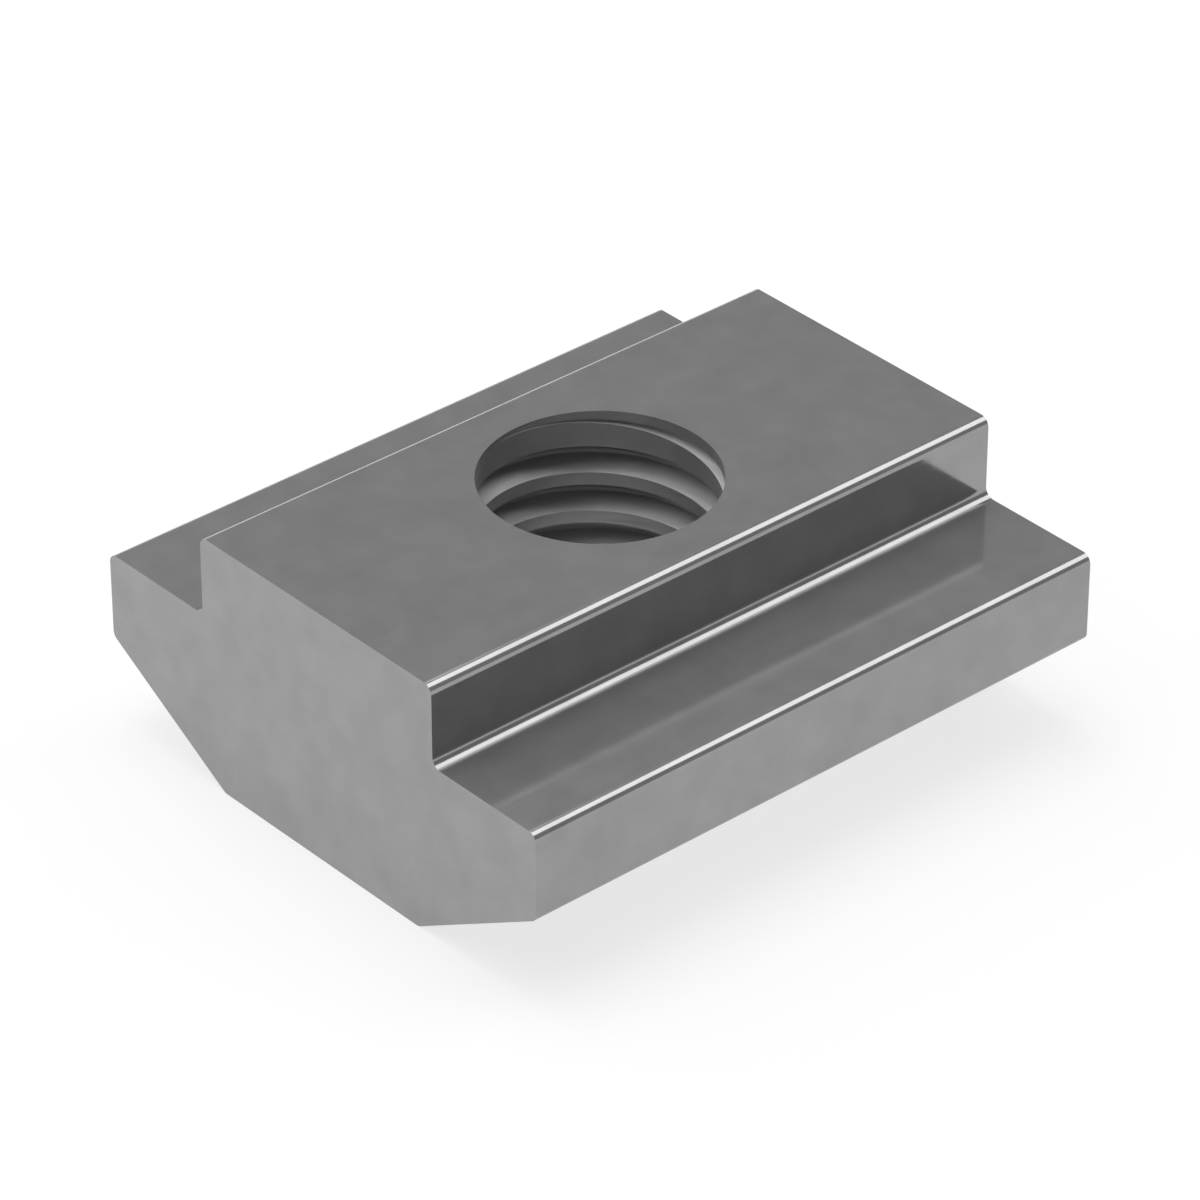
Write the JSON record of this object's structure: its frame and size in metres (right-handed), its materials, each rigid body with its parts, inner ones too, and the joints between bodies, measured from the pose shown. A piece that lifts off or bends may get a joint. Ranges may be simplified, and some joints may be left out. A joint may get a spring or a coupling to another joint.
{
  "type": "t slot nut",
  "caption": "T-section steel nut for a slotted profile: wide bevelled flange, raised neck and a threaded hole down through the middle.",
  "frame": {"origin": "centre of the flat base, on the axis of the threaded hole", "axes": "+X along the nut, the way it slides in the slot, +Y across the flange, +Z from the base up through the neck, the way the screw leaves"},
  "size_m": [0.02, 0.0178, 0.008],
  "materials": {
    "steel": "bright drawn steel, ends cut square, neutral grey"
  },
  "bodies": {
    "root": {"t_slot_nut": "steel"}
  },
  "joints": []
}
